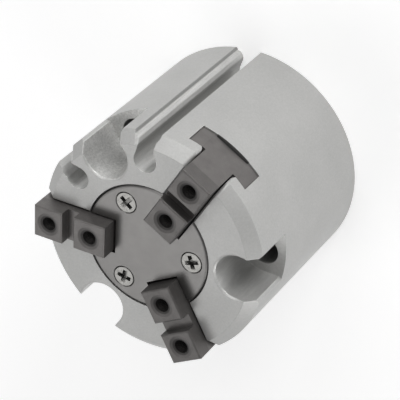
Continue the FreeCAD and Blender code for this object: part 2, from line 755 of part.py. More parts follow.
# ---------------------------------------------------------------------------------------------
# Piston and the pieces it carries
# ---------------------------------------------------------------------------------------------
def make_piston():
    piston = new_body("piston")
    outside = "bore_radius - running_gap"
    wear_floor = f"{outside} - wear_depth"
    seal_floor = f"{outside} - seal_depth"
    bolt_hole = "bolt_radius + seat_gap"
    gasket_floor = "piston_thick - rod_sink - gasket_cord * 2 - seat_gap"
    turned(piston, "Piston", [
        (bolt_hole, "bolt_sink"),
        ("bolt_head_radius + edge_break", "bolt_sink"),
        ("bolt_head_radius + edge_break", "0"),
        (f"{outside} - piston_bevel", "0"),
        (outside, "piston_bevel"),
        (outside, "wear_rear"),
        (wear_floor, "wear_rear"),
        (wear_floor, "wear_rear + wear_width"),
        (outside, "wear_rear + wear_width"),
        (outside, "seal_rear"),
        (seal_floor, "seal_rear"),
        (seal_floor, "seal_rear + seal_width"),
        (outside, "seal_rear + seal_width"),
        (outside, "magnet_rear"),
        ("magnet_inner", "magnet_rear"),
        ("magnet_inner", "piston_thick"),
        ("rod_radius + seat_gap", "piston_thick"),
        ("rod_radius + seat_gap", "piston_thick - rod_sink"),
        ("rod_radius - edge_break * 2", "piston_thick - rod_sink"),
        ("rod_radius - edge_break * 2", gasket_floor),
        (bolt_hole, gasket_floor),
    ])
    place(piston, height="piston_rear")
    return piston


def make_ring(label, inner, outer, thick, height, bevel="edge_break"):
    """Plain ring with bevelled outer edges."""
    ring = new_body(label)
    turned(ring, "Ring", [
        (inner, "0"),
        (f"{outer} - {bevel}", "0"),
        (outer, bevel),
        (outer, f"{thick} - {bevel}"),
        (f"{outer} - {bevel}", thick),
        (inner, thick),
    ])
    place(ring, height=height)
    return ring


def make_lip_seal(label, inner, outer, width, height):
    """U-cup: a solid heel with two lips that open towards +Z."""
    seal = new_body(label)
    middle = f"(({inner}) + ({outer})) / 2"
    turned(seal, "Cup", [
        (inner, "0"),
        (outer, "0"),
        (outer, width),
        (f"{outer} - seat_gap * 4", width),
        (middle, f"({width}) / 2"),
        (f"{inner} + seat_gap * 4", width),
        (inner, width),
    ])
    place(seal, height=height)
    return seal


def make_o_ring(label, centre_radius, cord_radius, height):
    ring = doc.addObject("Part::Torus", label)
    ring.Label = label
    ring.setExpression("Radius1", bound(centre_radius))
    ring.setExpression("Radius2", bound(cord_radius))
    ring.setExpression("Placement.Base.z", bound(height))
    return ring


def make_piston_bolt():
    """Socket head bolt, drawn with its seat at zero and its head below."""
    bolt = new_body("piston_bolt")
    turned(bolt, "Bolt", [
        ("0", "-(bolt_head_height)"),
        ("bolt_head_radius - edge_break", "-(bolt_head_height)"),
        ("bolt_head_radius", "-(bolt_head_height) + edge_break"),
        ("bolt_head_radius", "0"),
        ("bolt_radius - seat_gap", "0"),
        ("bolt_radius - seat_gap", "bolt_length - edge_break"),
        ("bolt_radius - edge_break", "bolt_length"),
        ("0", "bolt_length"),
    ])
    corners = [(f"bolt_key / sqrt(3) * cos({step * 60} deg)", f"bolt_key / sqrt(3) * sin({step * 60} deg)")
               for step in range(6)]
    pocket(bolt, "Socket", outline(bolt, "SocketOutline", "XY_Plane", corners,
                                   lift="-(bolt_head_height)"),
           "bolt_head_height / 2", back=True)
    place(bolt, height="piston_rear + bolt_sink")
    return bolt


# ---------------------------------------------------------------------------------------------
# Cap and its ring
# ---------------------------------------------------------------------------------------------
def make_cap():
    cap = new_body("cap")
    outside = "cap_bore_radius - seat_gap"
    groove = f"{outside} - cap_groove_depth"
    groove_rear = "(cap_thick - cap_groove_width) / 2"
    turned(cap, "Cap", [
        ("0", "cap_recess_depth"),
        ("cap_recess_radius - cap_recess_depth", "cap_recess_depth"),
        ("cap_recess_radius", "0"),
        (f"{outside} - edge_break", "0"),
        (outside, "edge_break"),
        (outside, groove_rear),
        (groove, groove_rear),
        (groove, f"{groove_rear} + cap_groove_width"),
        (outside, f"{groove_rear} + cap_groove_width"),
        (outside, "cap_thick - edge_break"),
        (f"{outside} - edge_break", "cap_thick"),
        ("0", "cap_thick"),
    ])
    place(cap, height="cap_rear")
    return cap


def make_retaining_ring():
    """Open ring with a lug and a pliers hole at each end."""
    ring = new_body("retaining_ring")
    outer = "cap_bore_radius + ring_bite - seat_gap"
    inner = "cap_bore_radius - ring_width"
    lug_x = "cap_bore_radius - ring_width - lug_radius / 2"
    lug_y = "ring_gap_half + lug_radius"
    pad(ring, "Ring", circles(ring, "RingOutline", "XY_Plane",
                              [("0", "0", outer), ("0", "0", inner)]),
        "ring_thick")
    pocket(ring, "Gap", outline(ring, "GapOutline", "XY_Plane",
                                rectangle("0", "-(ring_gap_half)", "far", "ring_gap_half")),
           back=True)
    for side in (1, -1):
        name = "Left" if side > 0 else "Right"
        pad(ring, name + "Lug", circles(ring, name + "LugRound", "XY_Plane",
                                        [(lug_x, f"({lug_y}) * {side}", "lug_radius")]),
            "ring_thick")
        pocket(ring, name + "LugHole", circles(ring, name + "LugHoleRound", "XY_Plane",
                                               [(lug_x, f"({lug_y}) * {side}", "lug_hole_radius")]),
               back=True)
    place(ring, PORT_ANGLE, height="pilot_depth")
    return ring


# ---------------------------------------------------------------------------------------------
# The whole gripper
# ---------------------------------------------------------------------------------------------
def make_all():
    pieces = [make_body(), make_end_plate(), make_cam(), make_piston(), make_piston_bolt(),
              make_cap(), make_retaining_ring()]
    pieces += [make_finger(label, angle) for label, angle in FINGERS.items()]
    pieces += [make_screw(label, angle) for label, angle in SCREWS.items()]
    piston_outside = "bore_radius - running_gap"
    pieces.append(make_lip_seal("piston_seal", f"{piston_outside} - seal_depth + seat_gap",
                                "bore_radius - seat_gap / 2", "seal_width - seat_gap * 2",
                                "piston_rear + seal_rear + seat_gap"))
    pieces.append(make_ring("wear_ring", f"{piston_outside} - wear_depth + seat_gap",
                            "bore_radius - seat_gap / 2", "(wear_width - seat_gap * 2)",
                            "piston_rear + wear_rear + seat_gap", bevel="edge_break / 3"))
    pieces.append(make_ring("magnet", "magnet_inner + seat_gap", "(bore_radius - edge_break)",
                            "magnet_thick", "piston_rear + magnet_rear", bevel="edge_break / 3"))
    pieces.append(make_ring("magnet_holder", "magnet_inner + seat_gap", "(bore_radius - edge_break)",
                            "(piston_thick - magnet_rear - magnet_thick)",
                            "piston_rear + magnet_rear + magnet_thick", bevel="edge_break / 3"))
    pieces.append(make_lip_seal("rod_seal", "rod_radius + seat_gap / 2",
                                "rod_radius + rod_seal_depth - seat_gap / 2",
                                "rod_seal_width - seat_gap * 2", "rod_seal_rear + seat_gap"))
    pieces.append(make_o_ring("bolt_gasket", "bolt_radius + seat_gap * 2 + gasket_cord", "gasket_cord",
                              "rod_end - gasket_cord - seat_gap / 2"))
    cap_cord = "cap_groove_depth / 2 - seat_gap / 4"
    pieces.append(make_o_ring("cap_gasket", f"cap_bore_radius - seat_gap - ({cap_cord})", cap_cord,
                              "cap_rear + cap_thick / 2"))
    doc.recompute()
    return pieces


def check_document():
    for item in doc.Objects:
        if "Invalid" in item.State or "Error" in item.State:
            raise RuntimeError(f"{item.Label} failed: {item.State}")


def write(pieces):
    os.makedirs("parts", exist_ok=True)
    for piece in pieces:
        shape = piece.Shape
        if shape.isNull() or not shape.isValid():
            raise RuntimeError(f"{piece.Label} has no valid shape")
        shape.exportStep(f"parts/{piece.Label}.step")
        print(piece.Label, len(shape.Solids), round(shape.Volume, 2))


fill_sheets()
all_pieces = make_all()
check_document()
write(all_pieces)
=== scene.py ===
"""Looks of a three jaw centric gripper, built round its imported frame. Everything is in metres."""

import json
import math

import bmesh
import bpy
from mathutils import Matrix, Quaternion, Vector


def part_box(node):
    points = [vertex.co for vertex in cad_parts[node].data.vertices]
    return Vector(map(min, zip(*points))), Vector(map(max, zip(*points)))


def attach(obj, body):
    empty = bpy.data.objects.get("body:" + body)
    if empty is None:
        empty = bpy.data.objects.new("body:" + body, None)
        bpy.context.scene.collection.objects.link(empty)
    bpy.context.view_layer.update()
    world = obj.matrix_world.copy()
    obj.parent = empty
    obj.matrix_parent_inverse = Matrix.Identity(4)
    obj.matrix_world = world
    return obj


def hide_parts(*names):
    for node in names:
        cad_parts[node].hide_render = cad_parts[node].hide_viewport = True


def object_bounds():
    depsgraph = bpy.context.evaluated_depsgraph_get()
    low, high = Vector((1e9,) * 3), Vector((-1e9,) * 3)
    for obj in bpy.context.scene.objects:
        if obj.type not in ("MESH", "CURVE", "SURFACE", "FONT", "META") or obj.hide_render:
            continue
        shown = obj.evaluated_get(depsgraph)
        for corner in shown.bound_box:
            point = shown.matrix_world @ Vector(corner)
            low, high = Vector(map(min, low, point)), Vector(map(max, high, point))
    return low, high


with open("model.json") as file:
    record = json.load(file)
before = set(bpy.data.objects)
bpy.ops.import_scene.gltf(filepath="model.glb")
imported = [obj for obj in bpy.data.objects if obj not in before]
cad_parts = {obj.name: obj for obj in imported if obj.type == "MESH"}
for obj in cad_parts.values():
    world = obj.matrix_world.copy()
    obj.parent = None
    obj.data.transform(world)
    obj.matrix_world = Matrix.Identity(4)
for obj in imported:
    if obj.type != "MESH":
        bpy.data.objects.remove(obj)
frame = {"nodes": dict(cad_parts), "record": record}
cad_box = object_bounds()

MM = 0.001
nodes = frame["nodes"]
mounts = {mount["name"]: mount for mount in frame["record"]["mounts"]}

# ---------------------------------------------------------------------------------------------
# Places read from the frame
# ---------------------------------------------------------------------------------------------
FRONT_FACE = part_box("body")[1].z
BODY_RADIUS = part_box("body")[1].x
PLATE_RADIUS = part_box("end_plate")[1].x
SLOT_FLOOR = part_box("finger_a")[0].z
FINGER_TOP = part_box("finger_a")[1].z

THIRD_TURN = 120
FINGER_ANGLES = {"a": 0, "b": 120, "c": 240}
FINGER_HOLES = [mounts[f"finger_a_thread_{which}"]["pos_m"][0] for which in ("inner", "outer")]
TAP_RADIUS = mounts["finger_a_thread_inner"]["dims"]["r_mm"] * MM

SCALLOP_ANGLE = 60
SCALLOP_FLOOR = mounts["front_bolts"]["pos_m"][2]
BOLT_CIRCLE = mounts["front_bolts"]["dims"]["pcd_mm"] / 2 * MM
BOLT_RADIUS = mounts["front_bolts"]["dims"]["hole_r_mm"] * MM

SWITCH_ANGLE = -60
SWITCH_MOUNTS = [Vector(mounts[f"switch_groove_{side}"]["pos_m"]) for side in ("left", "right")]
SWITCH_OFFSET = (SWITCH_MOUNTS[0] - SWITCH_MOUNTS[1]).length / 2
SWITCH_CENTRE = ((SWITCH_MOUNTS[0] + SWITCH_MOUNTS[1]) / 2).xy.length

# Sizes of the body that its mounts don't give
CHAMFER = 2 * MM
CHAMFER_RADIUS = BODY_RADIUS - CHAMFER
SCALLOP_RADIUS = 4.1 * MM
SLOT_HALF_WIDTH = 3.4 * MM


# ---------------------------------------------------------------------------------------------
# Materials
# ---------------------------------------------------------------------------------------------
class Surface:
    """A material whose nodes are added one after another."""

    NOISE_RANGE = (0.3, 0.7)    # holds nearly all values of a noise texture

    def __init__(self, name, colour, metallic, roughness):
        self.material = bpy.data.materials.new(name)
        self.material.use_nodes = True
        self.tree = self.material.node_tree
        self.shader = self.tree.nodes["Principled BSDF"]
        self.place = self.add("ShaderNodeTexCoord").outputs["Object"]
        self.x, self.y, self.z = self.split(self.place)
        self.shader.inputs["Base Color"].default_value = (*colour, 1)
        self.shader.inputs["Metallic"].default_value = metallic
        self.shader.inputs["Roughness"].default_value = roughness

    def add(self, kind, **settings):
        node = self.tree.nodes.new(kind)
        for name, value in settings.items():
            setattr(node, name, value)
        return node

    def feed(self, socket, value):
        if isinstance(value, bpy.types.NodeSocket):
            self.tree.links.new(value, socket)
        else:
            socket.default_value = value

    # Numbers
    def math(self, operation, *values):
        node = self.add("ShaderNodeMath", operation=operation)
        for socket, value in zip(node.inputs, values):
            self.feed(socket, value)
        return node.outputs[0]

    def span(self, value, low, high, to_low=0.0, to_high=1.0):
        """Map low..high on to to_low..to_high, held at both ends."""
        node = self.add("ShaderNodeMapRange")
        for socket, number in zip(node.inputs, (value, low, high, to_low, to_high)):
            self.feed(socket, number)
        return node.outputs[0]

    def product(self, *values):
        total = values[0]
        for value in values[1:]:
            total = self.math("MULTIPLY", total, value)
        return total

    def apart(self, value, centre):
        """How far a value is from a centre, on either side."""
        return self.math("ABSOLUTE", self.math("SUBTRACT", value, centre))

    def hypotenuse(self, first, second):
        squares = [self.math("MULTIPLY", side, side) for side in (first, second)]
        return self.math("SQRT", self.math("ADD", *squares))

    # Masks
    def below(self, value, edge, fade):
        """1 up to an edge, falling to 0 over the fade after it."""
        return self.span(value, edge + fade, edge)

    def above(self, value, edge, fade):
        """1 from an edge on, rising from 0 over the fade before it."""
        return self.span(value, edge - fade, edge)

    def where(self, mask, level):
        """A level inside a mask, and 1 outside it."""
        return self.math("ADD", 1.0, self.math("MULTIPLY", mask, self.math("SUBTRACT", level, 1.0)))

    def edges(self, radius):
        """1 at sharp edges, falling to 0 a radius away."""
        dot = self.add("ShaderNodeVectorMath", operation="DOT_PRODUCT")
        self.feed(dot.inputs[0], self.rounded(radius))
        self.feed(dot.inputs[1], self.add("ShaderNodeNewGeometry").outputs["Normal"])
        return self.span(self.math("SUBTRACT", 1.0, dot.outputs["Value"]), 0.02, 0.2)

    # Places
    def split(self, vector):
        node = self.add("ShaderNodeSeparateXYZ")
        self.feed(node.inputs[0], vector)
        return node.outputs[0], node.outputs[1], node.outputs[2]

    def radius(self):
        """Distance from the gripper's axis."""
        return self.hypotenuse(self.x, self.y)

    def folded(self, angle):
        """Places along and across the nearest of three directions a third of a turn apart."""
        half = math.radians(THIRD_TURN) / 2
        turn = self.math("SUBTRACT", self.math("ARCTAN2", self.y, self.x), math.radians(angle))
        within = self.math("WRAP", turn, half, -half)
        radius = self.radius()
        along = self.math("MULTIPLY", radius, self.math("COSINE", within))
        across = self.math("MULTIPLY", radius, self.math("SINE", within))
        return along, across

    def turned_place(self, angle):
        """Object coordinates turned back about the axis, so that X runs out at an angle."""
        node = self.add("ShaderNodeVectorRotate", rotation_type="Z_AXIS")
        self.feed(node.inputs["Vector"], self.place)
        node.inputs["Angle"].default_value = -math.radians(angle)
        return node.outputs[0]

    def stretched(self, place, x=1, y=1, z=1):
        """Coordinates squeezed by a factor along each axis, which draws a pattern out along it."""
        node = self.add("ShaderNodeVectorMath", operation="MULTIPLY")
        self.feed(node.inputs[0], place)
        node.inputs[1].default_value = (x, y, z)
        return node.outputs[0]

    # Patterns
    def noise(self, size, detail=2.0, roughness=0.5, place=None):
        """Noise whose grains are about as large as size."""
        node = self.add("ShaderNodeTexNoise")
        self.feed(node.inputs["Vector"], self.place if place is None else place)
        node.inputs["Scale"].default_value = 1 / size
        node.inputs["Detail"].default_value = detail
        node.inputs["Roughness"].default_value = roughness
        return node.outputs["Fac"]

    def spread(self, noise, low, high):
        """Noise spread from low to high."""
        return self.span(noise, *self.NOISE_RANGE, low, high)

    def lathe_rings(self, pitch):
        """Waves about the axis that wander a little, as a facing tool leaves them."""
        wander = self.math("MULTIPLY", self.noise(0.8 * MM), pitch * 0.7)
        place = self.math("ADD", self.radius(), wander)
        return self.math("SINE", self.math("MULTIPLY", place, 2 * math.pi / pitch))

    # Colours and normals
    def mix(self, factor, first, second):
        """Blend of two colours."""
        node = self.add("ShaderNodeMix", data_type="RGBA")
        self.feed(node.inputs[0], factor)
        for socket, colour in ((node.inputs[6], first), (node.inputs[7], second)):
            self.feed(socket, (*colour, 1))
        return node.outputs[2]

    def scaled(self, colour, factor):
        """A colour made lighter or darker by a factor."""
        node = self.add("ShaderNodeVectorMath", operation="SCALE")
        self.feed(node.inputs[0], colour)
        self.feed(node.inputs["Scale"], factor)
        return node.outputs[0]

    def rounded(self, radius):
        """Normal of the surface with its edges rounded to a radius."""
        node = self.add("ShaderNodeBevel", samples=6)
        node.inputs["Radius"].default_value = radius
        return node.outputs[0]

    def bump(self, height, distance, normal, strength):
        node = self.add("ShaderNodeBump")
        node.inputs["Distance"].default_value = distance
        self.feed(node.inputs["Strength"], strength)
        self.feed(node.inputs["Height"], height)
        self.feed(node.inputs["Normal"], normal)
        return node.outputs[0]

    def paint(self, colour, roughness, normal):
        for name, value in (("Base Color", colour), ("Roughness", roughness), ("Normal", normal)):
            self.feed(self.shader.inputs[name], value)
        return self.material


def lighter(colour, factor):
    return tuple(min(part * factor, 1.0) for part in colour)


# Strips of a switch groove's walls: the middle and half width across the groove, where the strip
# starts and ends outward, both from the groove's centre, and the fade at its sides.
# The ledge strip is lightened as a painted highlight, and the riser darkened as painted shade.
GROOVE_WALL = (0, 2.2 * MM, -2.2 * MM, 2.95 * MM, 0.1 * MM)
GROOVE_LEDGE = (-0.2 * MM, 0.35 * MM, 3.15 * MM, 4.55 * MM, 0.05 * MM)
GROOVE_RISER = (-0.45 * MM, 0.07 * MM, 4.7 * MM, 6.2 * MM, 0.05 * MM)
LEDGE_HIGHLIGHT_LEVEL = 1.2
RISER_SHADE_LEVEL = 0.62


def switch_groove_light_and_shade(s):
    """Painted light and shade inside the two switch grooves: a lighter ledge strip, a darker riser
    and a wall that darkens outward, with streaks along the axis.
    """
    outward, across, _ = s.split(s.turned_place(SWITCH_ANGLE))
    rise = s.math("SUBTRACT", outward, SWITCH_CENTRE)
    past = s.math("SUBTRACT", s.math("ABSOLUTE", across), SWITCH_OFFSET)
    inside = s.product(s.below(s.z, FRONT_FACE - 0.05 * MM, 0.04 * MM),
                       s.above(s.z, 0.05 * MM, 0.04 * MM))

    def strip(middle, half_width, start, end, fade):
        return s.product(inside, s.below(s.apart(past, middle), half_width, fade),
                         s.above(rise, start, 0.1 * MM), s.below(rise, end, 0.1 * MM))

    streaks = s.spread(s.noise(0.3 * MM, 3.0, 0.6, s.stretched(s.place, z=0.06)), 0.9, 1.1)
    # Painted light: the wall goes from lighter deep in the groove to darker outward.
    wall_shading = s.span(rise, -0.6 * MM, 2.6 * MM, 1.3, 0.8)
    return s.product(s.where(strip(*GROOVE_WALL), s.math("MULTIPLY", wall_shading, streaks)),
                     s.where(strip(*GROOVE_LEDGE), s.math("MULTIPLY", streaks, LEDGE_HIGHLIGHT_LEVEL)),
                     s.where(strip(*GROOVE_RISER), RISER_SHADE_LEVEL))


ALUMINIUM = (0.45, 0.449, 0.44)
# Paler aluminium for edges and scallop rims: partly wear, partly painted highlight
WORN_AND_HIGHLIT_ALUMINIUM = (0.62, 0.617, 0.605)
BOLT_HOLE_SHADE_LEVEL = 0.6
GAP_SHADE_LEVEL = 0.12            # painted shade in the seam round the plate
SLOT_FLOOR_SHADE_SHARE = 0.8      # how far a T-slot's floor darkens towards that, painted shade beside the fingers
RIM_HIGHLIGHT_SHARE = 0.3             # how far the face beside a scallop's mouth lightens, a painted highlight on the cut rim
# The scallop between the switch grooves is milled more coarsely than the other two, and painted
# lighter than them as a painted highlight.
COARSE_X = 3 * MM
COARSE_Y = -9 * MM
COARSE_FADE = 2 * MM


def anodised_body():
    """Blasted and clear anodised aluminium with milled scallops, with painted shade in its holes
    and gaps and painted highlight on its edges.
    """
    s = Surface("anodised_body", ALUMINIUM, 0.5, 0.5)

    along, across = s.folded(SCALLOP_ANGLE)
    short = s.math("MAXIMUM", s.math("SUBTRACT", BOLT_CIRCLE, along), 0.0)
    from_wall = s.hypotenuse(short, across)
    scallop = s.product(s.below(from_wall, SCALLOP_RADIUS + 0.05 * MM, 0.07 * MM),
                        s.above(s.z, SCALLOP_FLOOR, 0.1 * MM))
    # Painted shade down the bolt holes.
    from_bolt = s.hypotenuse(s.math("SUBTRACT", along, BOLT_CIRCLE), across)
    bolt_hole = s.product(s.below(from_bolt, BOLT_RADIUS + 0.03 * MM, 0.05 * MM),
                          s.below(s.z, SCALLOP_FLOOR - 0.6 * MM, 0.55 * MM))
    # Painted shade: the T-slot floors under the fingers and the seam round the plate are darkened.
    _, across_slot = s.folded(FINGER_ANGLES["a"])
    slot_floor = s.product(s.below(s.apart(s.z, SLOT_FLOOR), 0.08 * MM, 0.04 * MM),
                           s.below(s.math("ABSOLUTE", across_slot), SLOT_HALF_WIDTH, 0.1 * MM))
    seam = s.product(s.below(s.radius(), PLATE_RADIUS + 0.14 * MM, 0.06 * MM),
                     s.above(s.z, FRONT_FACE - 2.9 * MM, 0.1 * MM))
    gap_shade = s.math("MAXIMUM", s.math("MULTIPLY", slot_floor, SLOT_FLOOR_SHADE_SHARE), seam)
    coarse_and_highlit = s.product(s.below(s.y, COARSE_Y, COARSE_FADE), s.above(s.x, COARSE_X, COARSE_FADE))

    cloud = s.spread(s.noise(9 * MM, 3.0), 0.955, 1.04)
    blasted = s.spread(s.noise(0.35 * MM, 4.0, 0.7), 0.93, 1.06)
    drawn = s.spread(s.noise(0.5 * MM, 3.0, 0.6, s.stretched(s.place, z=0.2)), 0.93, 1.07)
    grain = s.span(s.noise(0.36 * MM, 4.0, 0.7), 0.34, 0.66, -0.12, 0.26)
    grain = s.math("MULTIPLY", grain, s.span(coarse_and_highlit, 0.0, 1.0, 0.15, 1.0))
    # Scallops are lighter than the blasted face; the coarse scallop's extra lightness is a painted
    # highlight.
    milled = s.math("MULTIPLY", s.math("ADD", drawn, grain), s.span(coarse_and_highlit, 0.0, 1.0, 1.1, 1.22))
    finish = s.math("ADD", s.math("MULTIPLY", blasted, s.math("SUBTRACT", 1.0, scallop)),
                    s.math("MULTIPLY", milled, scallop))
    level = s.product(cloud, finish, s.where(gap_shade, GAP_SHADE_LEVEL), s.where(bolt_hole, BOLT_HOLE_SHADE_LEVEL),
                      switch_groove_light_and_shade(s))

    off_chamfer = s.math("MAXIMUM", s.below(s.radius(), CHAMFER_RADIUS - 0.3 * MM, 0.2 * MM),
                         s.below(s.z, FRONT_FACE - CHAMFER - 0.4 * MM, 0.2 * MM))
    off_floor = s.above(s.apart(s.z, SCALLOP_FLOOR), 0.4 * MM, 0.2 * MM)
    # Painted highlight, partly wear: sharp edges and the scallops' rims are lightened towards the
    # paler aluminium.
    wear_and_highlight = s.product(s.edges(0.16 * MM), off_chamfer, off_floor)
    rim = s.product(s.above(from_wall, SCALLOP_RADIUS + 0.1 * MM, 0.04 * MM),
                    s.below(from_wall, SCALLOP_RADIUS + 0.55 * MM, 0.2 * MM),
                    s.below(s.z, FRONT_FACE - 0.07 * MM, 0.04 * MM),
                    s.below(s.radius(), CHAMFER_RADIUS - 0.4 * MM, 0.2 * MM))
    wear_and_highlight = s.math("MAXIMUM", wear_and_highlight, s.math("MULTIPLY", rim, RIM_HIGHLIGHT_SHARE))
    colour = s.mix(wear_and_highlight, ALUMINIUM, WORN_AND_HIGHLIT_ALUMINIUM)

    rough = s.math("SUBTRACT", s.spread(s.noise(0.3 * MM), 0.43, 0.49),
                   s.math("MULTIPLY", scallop, 0.12))
    tool_strength = s.math("MULTIPLY", scallop, s.span(coarse_and_highlit, 0.0, 1.0, 0.06, 0.3))
    tooled = s.bump(s.noise(0.4 * MM, 4.0, 0.7), 0.1 * MM, s.rounded(0.12 * MM), tool_strength)
    normal = s.bump(s.noise(0.11 * MM, 3.0, 0.65), 0.012 * MM, tooled, 0.5)
    return s.paint(s.scaled(colour, level), rough, normal)


FINGER_COLOUR = (0.130, 0.123, 0.119)
FINGER_EDGE_HIGHLIGHT = (0.155, 0.148, 0.142)
# Painted shade: fingers b and c are darker copies of the same steel as finger a.
FINGER_SHADE_LEVELS = {"a": 1.0, "b": 0.8, "c": 0.84}
GUIDE_LEVEL = 1.36          # the guide down in the slot, beside the pads
HOLE_MOUTH_LEVEL = 1.08


def finger_steel(letter):
    """Hardened dark steel, ground along the finger's travel, with painted shade in and round its
    threaded holes.
    """
    shade_level = FINGER_SHADE_LEVELS[letter]
    plain, edge = (tuple(part * shade_level for part in colour) for colour in (FINGER_COLOUR, FINGER_EDGE_HIGHLIGHT))
    s = Surface(f"finger_steel_{letter}", plain, 0.55, 0.37)
    place = s.turned_place(FINGER_ANGLES[letter])
    along, across, height = s.split(place)
    from_hole = s.hypotenuse(s.math("MINIMUM", *(s.apart(along, hole) for hole in FINGER_HOLES)),
                             across)
    mouth = s.below(from_hole, TAP_RADIUS + 0.6 * MM, 0.3 * MM)
    # Painted shade: the threaded holes and a narrow ring round their mouths are darkened.
    bore = s.below(from_hole, TAP_RADIUS + 0.3 * MM, 0.12 * MM)
    bore_shade_level = s.span(height, FINGER_TOP - 0.8 * MM, FINGER_TOP - 1.4 * MM, 0.4, 0.8)
    guide = s.below(height, FRONT_FACE - 0.1 * MM, 0.2 * MM)
    pads = s.above(height, FRONT_FACE + 0.5 * MM, 0.2 * MM)

    grind = s.noise(0.09 * MM, 3.0, 0.6, s.stretched(place, x=0.06))
    cloud = s.spread(s.noise(2.2 * MM, 4.0, 0.6), 0.88, 1.10)
    level = s.product(cloud, s.spread(grind, 0.92, 1.08), s.where(guide, GUIDE_LEVEL),
                      s.where(mouth, HOLE_MOUTH_LEVEL), s.where(bore, bore_shade_level))
    # Painted highlight on the pads' sharp edges.
    colour = s.mix(s.math("MULTIPLY", s.edges(0.12 * MM), pads), plain, edge)
    rough = s.spread(s.noise(0.5 * MM, 3.0, 0.6), 0.31, 0.42)
    normal = s.bump(grind, 0.008 * MM, s.rounded(0.06 * MM), 0.6)
    return s.paint(s.scaled(colour, level), rough, normal)


SCREW_COLOUR = (0.26, 0.256, 0.245)
SCREW_EDGE_HIGHLIGHT = (0.5, 0.495, 0.48)
RECESS_SHADE_LEVEL = 0.6


def screw_steel():
    """Bright plated screws, with painted shade down in the recess."""
    s = Surface("screw_steel", SCREW_COLOUR, 0.9, 0.28)
    # Painted shade: the cross recess is darkened.
    recess_shade = s.below(s.z, FRONT_FACE - 0.22 * MM, 0.17 * MM)
    cloud = s.spread(s.noise(0.7 * MM, 4.0, 0.6), 0.8, 1.15)
    # Painted highlight, partly wear: the heads' sharp edges are lightened.
    colour = s.mix(s.edges(0.1 * MM), SCREW_COLOUR, SCREW_EDGE_HIGHLIGHT)
    level = s.math("MULTIPLY", cloud, s.where(recess_shade, RECESS_SHADE_LEVEL))
    rough = s.spread(s.noise(0.2 * MM, 3.0), 0.24, 0.36)
    normal = s.bump(s.noise(0.25 * MM, 3.0), 0.006 * MM, s.rounded(0.06 * MM), 0.6)
    return s.paint(s.scaled(colour, level), rough, normal)


PLATE_COLOUR = (0.160, 0.156, 0.152)
PLATE_EDGE_HIGHLIGHT = (0.25, 0.246, 0.24)
PLATE_RIM_SHADE_LEVEL = 0.8


def plate_steel():
    """Turned steel plate with very fine rings, and painted shade at its rim where it meets the
    body.
    """
    s = Surface("plate_steel", PLATE_COLOUR, 0.9, 0.3)
    cloud = s.spread(s.noise(3 * MM, 4.0, 0.6), 0.95, 1.05)
    # Painted shade in the seam at the plate's rim.
    rim = s.above(s.radius(), PLATE_RADIUS - 0.01 * MM, 0.05 * MM)
    level = s.math("MULTIPLY", cloud, s.where(rim, PLATE_RIM_SHADE_LEVEL))
    # Painted highlight, partly wear: sharp edges are lightened.
    colour = s.mix(s.edges(0.1 * MM), PLATE_COLOUR, PLATE_EDGE_HIGHLIGHT)
    rough = s.spread(s.noise(0.6 * MM, 3.0), 0.28, 0.32)
    normal = s.bump(s.lathe_rings(0.3 * MM), 0.002 * MM, s.rounded(0.06 * MM), 0.15)
    return s.paint(s.scaled(colour, level), rough, normal)


def turned_metal(name, colour, metallic, roughness, pitch, depth):
    """Metal faced on a lathe: rings about the axis."""
    s = Surface(name, colour, metallic, roughness)
    cloud = s.spread(s.noise(3 * MM, 4.0, 0.6), 0.94, 1.06)
    # Painted highlight, partly wear: sharp edges are lightened.
    edge_highlit = s.mix(s.edges(0.1 * MM), colour, lighter(colour, 1.25))
    rough = s.spread(s.noise(0.25 * MM, 3.0), roughness - 0.05, roughness + 0.06)
    normal = s.bump(s.lathe_rings(pitch), depth, s.rounded(0.08 * MM), 0.6)
    return s.paint(s.scaled(edge_highlit, cloud), rough, normal)


def speckled(name, colour, metallic, roughness, grain, depth):
    """Plain stock material with grain, for moulded, plated and coated pieces."""
    s = Surface(name, colour, metallic, roughness)
    level = s.spread(s.noise(grain * 6, 3.0, 0.6), 0.9, 1.1)
    # Painted highlight, partly wear: sharp edges are lightened.
    edge_highlit = s.mix(s.edges(0.08 * MM), colour, lighter(colour, 1.4))
    rough = s.spread(s.noise(grain * 2), roughness - 0.06, roughness + 0.06)
    normal = s.bump(s.noise(grain, 3.0), depth, s.rounded(0.06 * MM), 0.5)
    return s.paint(s.scaled(edge_highlit, level), rough, normal)


# Colour, metallic, roughness, pitch of the rings and their depth
TURNED = {
    "cam_steel": ((0.30, 0.30, 0.30), 0.8, 0.33, 0.12 * MM, 0.004 * MM),
    "piston_aluminium": ((0.66, 0.66, 0.65), 0.7, 0.35, 0.12 * MM, 0.006 * MM),
    "holder_aluminium": ((0.66, 0.66, 0.65), 0.7, 0.35, 0.12 * MM, 0.006 * MM),
    "cap_aluminium": ((0.54, 0.535, 0.52), 0.4, 0.42, 0.2 * MM, 0.01 * MM),
}
# Colour, metallic, roughness, size of the grain and its depth
SPECKLED = {
    "bolt_steel": ((0.035, 0.035, 0.037), 0.5, 0.42, 0.05 * MM, 0.006 * MM),
    "seal_rubber": ((0.022, 0.022, 0.023), 0.0, 0.55, 0.06 * MM, 0.008 * MM),
    "wear_plastic": ((0.42, 0.31, 0.19), 0.0, 0.5, 0.08 * MM, 0.006 * MM),
    "magnet_rubber": ((0.05, 0.046, 0.043), 0.1, 0.6, 0.06 * MM, 0.008 * MM),
    "spring_steel": ((0.07, 0.068, 0.066), 0.6, 0.45, 0.07 * MM, 0.01 * MM),
}
MATERIALS = {
    "anodised_body": anodised_body(),
    "plate_steel": plate_steel(),
    "screw_steel": screw_steel(),
}
MATERIALS.update({name: turned_metal(name, *look) for name, look in TURNED.items()})
MATERIALS.update({name: speckled(name, *look) for name, look in SPECKLED.items()})
FINGER_STEEL = {letter: finger_steel(letter) for letter in FINGER_ANGLES}


